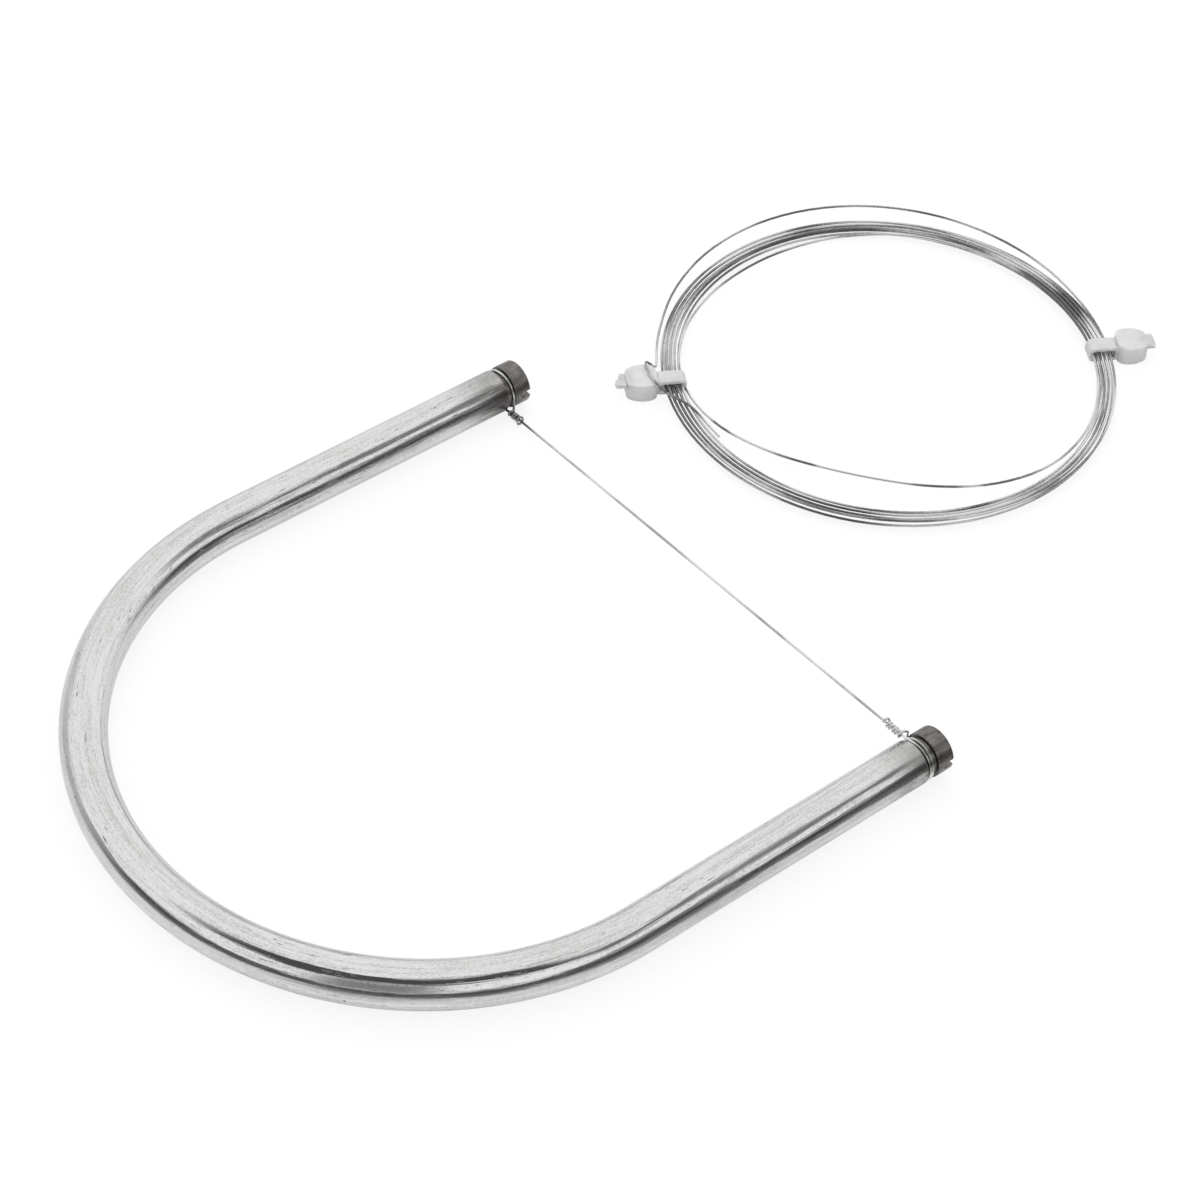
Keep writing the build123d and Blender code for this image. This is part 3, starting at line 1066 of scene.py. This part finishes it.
@dataclass
class CableTie:
    """A nylon tie: a strap round the band, and a barrel-shaped head with the cut tail through it.

    It is built round the X axis, with the coil's middle at the origin, and turned last.
    """

    side: str
    angle: float
    cut: TailCut
    coil: SpareCoil
    nylon: bpy.types.Material
    clearance: float = 0.2 * MM
    strap_thickness: float = 1.2 * MM
    strap_width: float = 4.8 * MM
    strap_round: float = 0.45 * MM
    strap_edge_round: float = 0.32 * MM
    strap_edge_steps: int = 3
    head_length: float = 8.6 * MM
    head_width: float = 9.2 * MM
    head_height: float = 5.6 * MM
    head_corner_round: float = 1.3 * MM
    head_corner_steps: int = 6
    head_edge_round: float = 0.9 * MM
    head_edge_steps: int = 5
    head_shares: tuple[Numbers, ...] = ((0, 0.72), (0.22, 1), (0.62, 1), (1, 0.66))
    window_clearance: float = 0.25 * MM
    window_depth: float = 1.6 * MM
    window_round: float = 0.2 * MM
    tail_root: float = 0.4 * MM
    tail_overlap: float = 0.02 * MM
    tooth_pitch: float = 0.75 * MM
    tooth_depth: float = 0.28 * MM
    tooth_foot_share: float = 0.75
    tooth_slope: float = 0.1 * MM
    cut_lean: float = 0.15 * MM
    cut_margin: float = 0.05 * MM
    corner_steps: int = 6
    flat_normal: float = 0.9
    sharp_degrees: float = 40.0

    @property
    def name(self) -> str:
        """The tie's name."""
        return f"cable_tie_{self.side}_moulded"

    @property
    def inside_end(self) -> float:
        """Where the strap's opening ends, outwards from the coil's middle."""
        return self.coil.diameter / 2 + self.clearance

    @property
    def inside_start(self) -> float:
        """Where the strap's opening starts, outwards from the coil's middle."""
        band = self.coil.pitch * self.coil.layer_turns + 2 * self.coil.wire_radius
        return self.inside_end - band - 2 * self.clearance

    @property
    def inside_height(self) -> float:
        """How high the strap's opening is."""
        return self.coil.layer_height + 2 * self.coil.wire_radius + 2 * self.clearance

    @property
    def strap_top(self) -> float:
        """How high the strap stands over the table."""
        return self.inside_height + 2 * self.strap_thickness

    @property
    def head_end(self) -> float:
        """Where the head ends, outwards from the coil's middle."""
        return self.inside_end + self.strap_thickness / 2 + self.head_length

    def rounded_box(self, low: Numbers, high: Numbers, corner: float) -> list[Vector]:
        """Draw an upright rounded rectangle.

        Args:
            low: Its lower corner, outwards and up.
            high: Its upper corner, outwards and up.
            corner: Its corners' radius.

        Returns:
            The points round it, in order.
        """
        right, left = high[0] - corner, low[0] + corner
        top, bottom = high[1] - corner, low[1] + corner
        middles = ((right, top), (left, top), (left, bottom), (right, bottom))
        points = []
        for quarter, (out, up) in enumerate(middles):
            for step in range(self.corner_steps + 1):
                turn = math.pi / 2 * (quarter + step / self.corner_steps)
                across = corner * math.cos(turn)
                points.append(Vector((out + across, 0, up + corner * math.sin(turn))))
        return points

    def opening(self) -> list[Vector]:
        """The points round the strap's opening."""
        high = (self.inside_end, self.strap_top - self.strap_thickness)
        return self.rounded_box((self.inside_start, self.strap_thickness), high, self.strap_round)

    def prism(self, points: Iterable[Vector], middle: float, width: float, name: str) -> Piece:
        """Extrude an upright outline to a block of a width, about a middle across the strap."""
        side = Vector((0, middle - width / 2, 0))
        return keep(block((point + side for point in points), (0, width, 0)), f"{self.name}_{name}")

    def strap(self) -> Piece:
        """Make the strap's ring, with its long edges rounded.

        Returns:
            The ring.
        """
        thick = self.strap_thickness
        low = (self.inside_start - thick, 0)
        high = (self.inside_end + thick, self.strap_top)
        outer = self.rounded_box(low, high, self.strap_round + thick)
        side = Vector((0, self.strap_width / 2, 0))
        shape = bmesh.new()
        rings = []
        for points in (outer, self.opening()):
            verts = [shape.verts.new(point - side) for point in points]
            rings += [shape.edges.new(pair) for pair in zip(verts, verts[1:] + verts[:1])]
        thicken(shape, bmesh.ops.bridge_loops(shape, edges=rings)["faces"], 2 * side)
        rims = [
            edge
            for edge in shape.edges
            if len({abs(face.normal.y) > self.flat_normal for face in edge.link_faces}) == 2
        ]
        bmesh.ops.bevel(
            shape, geom=rims, offset=self.strap_edge_round, segments=self.strap_edge_steps,
            profile=0.5, affect="EDGES", material=-1,
        )
        return keep(shape, f"{self.name}_strap")

    def head(self) -> Piece:
        """Make the head's barrel, rounded at its corners and then along its edges.

        Returns:
            The barrel.
        """
        start = self.head_end - self.head_length
        half = [
            Vector((start + self.head_length * along, self.head_width / 2 * across, 0))
            for along, across in self.head_shares
        ]
        mirrored = [Vector((point.x, -point.y, 0)) for point in reversed(half)]
        shape = block(half + mirrored, (0, 0, self.head_height))
        for offset, upright, segments in (
            (self.head_corner_round, True, self.head_corner_steps),
            (self.head_edge_round, False, self.head_edge_steps),
        ):
            edges = [
                edge
                for edge in shape.edges
                if (abs(edge.verts[0].co.z - edge.verts[1].co.z) > self.head_height / 2) == upright
            ]
            bmesh.ops.bevel(
                shape, geom=edges, offset=offset, segments=segments, profile=0.5,
                affect="EDGES", clamp_overlap=True, material=-1,
            )
        bmesh.ops.recalc_face_normals(shape, faces=shape.faces)
        return keep(shape, f"{self.name}_head")

    def tail(self, half: int) -> Piece:
        """Make one half of the tail's width, toothed underneath, from inside the head to its cut.

        Args:
            half: 0 for one half of the width and 1 for the other.

        Returns:
            The half tail.
        """
        start = self.head_end - self.window_depth - self.tail_root
        end = self.head_end + self.cut.value[half] * MM
        top = self.strap_top
        bottom = top - self.strap_thickness
        points = [Vector((start, 0, top)), Vector((start, 0, bottom))]
        for tooth in range(int((end - start) / self.tooth_pitch)):
            foot = start + self.tooth_pitch * (tooth + self.tooth_foot_share)
            points.append(Vector((foot, 0, bottom)))
            points.append(Vector((foot + self.tooth_slope, 0, bottom + self.tooth_depth)))
        points = [point for point in points if point.x < end - self.cut_margin]
        points.append(Vector((end, 0, bottom + self.tooth_slope)))
        points.append(Vector((end - self.cut_lean, 0, top)))
        width = self.strap_width / 2
        return self.prism(points, width * (half - 0.5), width + self.tail_overlap, f"tail_{half}")

    def build(self) -> Piece:
        """Join strap, head and tail, and open the head's window and the strap's inside.

        Returns:
            The tie, as one closed shape.
        """
        tie = self.head()
        gap = self.window_clearance
        low = (self.head_end - self.window_depth, self.strap_top - self.strap_thickness - gap)
        high = (self.head_end + self.window_depth, self.strap_top + gap)
        window = self.rounded_box(low, high, self.window_round)
        tools = {
            self.prism(window, 0, self.strap_width + 2 * gap, "window"): "DIFFERENCE",
            self.prism(self.opening(), 0, 2 * self.head_width, "opening"): "DIFFERENCE",
            self.strap(): "UNION",
            self.tail(0): "UNION",
            self.tail(1): "UNION",
        }
        for tool, operation in tools.items():
            add_boolean(tie, tool, operation)
        apply_modifiers(tie, tools, self.sharp_degrees)
        stand = Matrix.Translation((self.coil.centre_x, self.coil.centre_y, 0))
        tie.data.transform(stand @ Matrix.Rotation(self.angle, 4, "Z"))
        tie.name = self.name
        tie.data.name = self.name
        return tie

    def dress(self, tie: Piece) -> None:
        """Give the tie its finish and its body."""
        finish_piece(tie, self.nylon, "spare_coil", "tie_nylon", f"cable_tie_{self.side}")


# The studio


@dataclass(frozen=True)
class Shade:
    """A soft-edged dark stretch of the room, as bare metal would mirror it.

    Azimuth 0 is towards -Y and azimuth 90 towards +X. All angles are in degrees.
    """

    azimuth: float
    half_width: float
    low: float
    high: float
    depth: float
    soft_side: float
    soft_edge: float

    def mask(self, graph: Graph, level_way: Value, height: Value) -> Value:
        """Find how far the shade darkens each direction.

        Args:
            graph: The world's graph.
            level_way: The direction's level part, one long.
            height: The sine of the direction's elevation.

        Returns:
            The share of light that the shade takes, from 0 to its depth.
        """
        turn = math.radians(self.azimuth)
        towards = (math.sin(turn), -math.cos(turn), 0.0)
        facing = graph.vector("DOT_PRODUCT", level_way, towards, output="Value")
        outside, inside = (
            math.cos(math.radians(min(180.0, self.half_width + side * self.soft_side)))
            for side in (1, -1)
        )
        low, high = (
            [math.sin(math.radians(edge + side * self.soft_edge)) for side in (-1, 1)]
            for edge in (self.low, self.high)
        )
        across = graph.fade(facing, outside, inside)
        above = graph.fade(height, *low)
        below = 1.0 - graph.fade(height, *high)
        return across * above * below * self.depth


@dataclass
class Studio:
    """A white table, a soft bright room that metal mirrors with dark stretches, and the camera."""

    camera_place: Numbers = (-0.322493, -0.428020, 0.595332)
    camera_right: Numbers = (0.77914, -0.62545, 0.04180)
    camera_up: Numbers = (0.42552, 0.57668, 0.69740)
    camera_back: Numbers = (-0.46030, -0.52559, 0.71546)
    focal_pixels: float = 3215.06
    image_pixels: float = 1200.0
    sensor_mm: float = 36.0
    floor_half: float = 4.0
    floor_white: float = 0.78
    floor_shadow_share: float = 0.22
    floor_glow: float = 1.08
    under_light: float = 0.12
    steep_white: float = 0.95
    shallow_white: float = 0.62
    pale_levels: Numbers = (0.12, 0.42)
    mirror_roughness: float = 0.1
    mirror_levels: Numbers = (0.5, 0.86)
    mirror_share: float = 0.9
    sky_light: float = 0.86
    lamp_size: float = 1.1
    lamp_watts: float = 3.4
    lamp_place: Numbers = (0.25, 0.55, 0.9)
    lamp_target: Numbers = (0.08, 0.0, 0.0)
    shades: tuple[Shade, ...] = (
        Shade(-33, 100, -25, 12, 0.93, soft_side=18, soft_edge=5),
        Shade(28, 24, 8, 20, 0.80, soft_side=12, soft_edge=4),
        Shade(-50, 72, 49, 76, 0.93, soft_side=14, soft_edge=4),
        Shade(38, 26, 40, 57, 0.78, soft_side=10, soft_edge=5),
        Shade(-140, 34, -25, 14, 0.40, soft_side=18, soft_edge=5),
        Shade(-50, 14, 14, 47, 0.74, soft_side=10, soft_edge=5),
    )

    def add_camera(self) -> None:
        """Stand the camera where the photograph was taken from."""
        lens = bpy.data.cameras.new("photo_camera")
        lens.sensor_width = self.sensor_mm
        lens.lens = self.sensor_mm * self.focal_pixels / self.image_pixels
        camera = add_object("photo_camera", lens)
        columns = (self.camera_right, self.camera_up, self.camera_back, self.camera_place)
        camera.matrix_world = Matrix([*zip(*columns), (0, 0, 0, 1)])
        bpy.context.scene.camera = camera

    def add_floor(self) -> None:
        """Lay the pale table.

        The camera sees it as white with a soft shadow. Metal sees it darker at a shallow angle,
        and at last as a mirror.
        """
        shape = bmesh.new()
        bmesh.ops.create_grid(shape, x_segments=1, y_segments=1, size=self.floor_half)
        floor = keep(shape, "pale_table")
        material, graph = new_material("pale_table_acrylic")
        paper = (*(self.floor_white,) * 3, 1.0)
        matt = graph.node("BsdfDiffuse", {}, {"Color": paper})
        white = graph.node("Emission", {}, {"Color": WHITE, "Strength": self.floor_glow})
        shown = graph.node("MixShader", {}, {0: 1.0 - self.floor_shadow_share, 1: matt, 2: white})
        facing = graph.node("LayerWeight", {}, {"Blend": 0.5}, "Facing")
        steep, shallow = ((level,) * 3 for level in (self.steep_white, self.shallow_white))
        shade = graph.mix(graph.fade(facing, *self.pale_levels), steep, shallow)
        under = {"Emission Color": WHITE, "Emission Strength": self.under_light}
        pale = graph.node("BsdfPrincipled", {}, {"Base Color": shade, "Roughness": 0.5, **under})
        mirror = {"Base Color": paper, "Metallic": 1.0, "Roughness": self.mirror_roughness}
        grazing = graph.fade(facing, *self.mirror_levels) * self.mirror_share
        mirror = graph.node("BsdfPrincipled", {}, mirror)
        lit = graph.node("MixShader", {}, {0: grazing, 1: pale, 2: mirror})
        seen = graph.node("LightPath", {}, {}, "Is Camera Ray")
        graph.surface(graph.node("MixShader", {}, {0: seen, 1: lit, 2: shown}))
        floor.data.materials.append(material)

    def add_room(self) -> None:
        """Make the pale room. Only mirrored rays see its dark stretches."""
        world = bpy.data.worlds.new("soft_studio")
        world.use_nodes = True
        bpy.context.scene.world = world
        graph = Graph(world.node_tree)
        way = graph.node("TexCoord", {}, {}, "Generated")
        height = graph.node("SeparateXYZ", {}, {0: way}, "Z")
        level_way = graph.vector("NORMALIZE", graph.vector("MULTIPLY", way, (1, 1, 0)))
        mirrored = graph.node("LightPath", {}, {}, "Is Glossy Ray")
        level: Number = self.sky_light
        for shade in self.shades:
            level = level * (1.0 - mirrored * shade.mask(graph, level_way, height))
        sky = graph.node("Background", {}, {"Color": WHITE, "Strength": level})
        plain = graph.node("Background", {}, {"Color": WHITE, "Strength": 1.0})
        seen = graph.node("LightPath", {}, {}, "Is Camera Ray")
        room = graph.node("MixShader", {}, {0: seen, 1: sky, 2: plain})
        graph.node("OutputWorld", {}, {"Surface": room})

    def add_lamp(self) -> None:
        """Hang a soft lamp above, which metal doesn't mirror."""
        light = bpy.data.lights.new("soft_lamp", "AREA")
        light.shape = "SQUARE"
        light.size = self.lamp_size
        light.energy = self.lamp_watts
        lamp = add_object("soft_lamp", light)
        lamp.visible_glossy = False
        lamp.location = self.lamp_place
        away = Vector(self.lamp_place) - Vector(self.lamp_target)
        lamp.rotation_euler = away.to_track_quat("Z", "Y").to_euler()


Part = Union[BowTube, SlottedPlug, CuttingWire, SpareCoil, CableTie]


def make(part: Part) -> Piece:
    """Build and dress one part, and report it.

    Args:
        part: The part.

    Returns:
        Its piece.
    """
    piece = part.build()
    part.dress(piece)
    LOG.info("%s is built and dressed in %s", piece.name, piece.data.materials[0].name)
    return piece


def main() -> None:
    """Build the camera, the spare coil, the bow and the studio, in order."""
    logging.basicConfig(level=logging.INFO, format="%(name)s: %(message)s")
    studio = Studio()
    studio.add_camera()

    coil = SpareCoil()
    spare = make(coil)
    nylon = TieNylon().material()
    ties = [
        make(CableTie("right", coil.tie_angle, TailCut.SQUARE, coil, nylon)),
        make(CableTie("left", coil.tie_angle + math.pi, TailCut.STEPPED, coil, nylon)),
    ]
    coil.declare()

    bow = BowTube()
    make(bow)
    faced, turned = Noise((4200, 420, 420), 4, 0.65), Noise((260, 2300, 2300), 4, 0.65)
    make(SlottedPlug(Leg.FAR, neck_gap=2.3 * MM, tooling=faced, bow=bow))
    make(SlottedPlug(Leg.NEAR, neck_gap=3.3 * MM, tooling=turned, bow=bow))
    make(CuttingWire(bow))

    studio.add_floor()
    studio.add_room()
    studio.add_lamp()
    bpy.context.scene.view_settings.view_transform = "Standard"


if __name__ == "__main__":
    main()
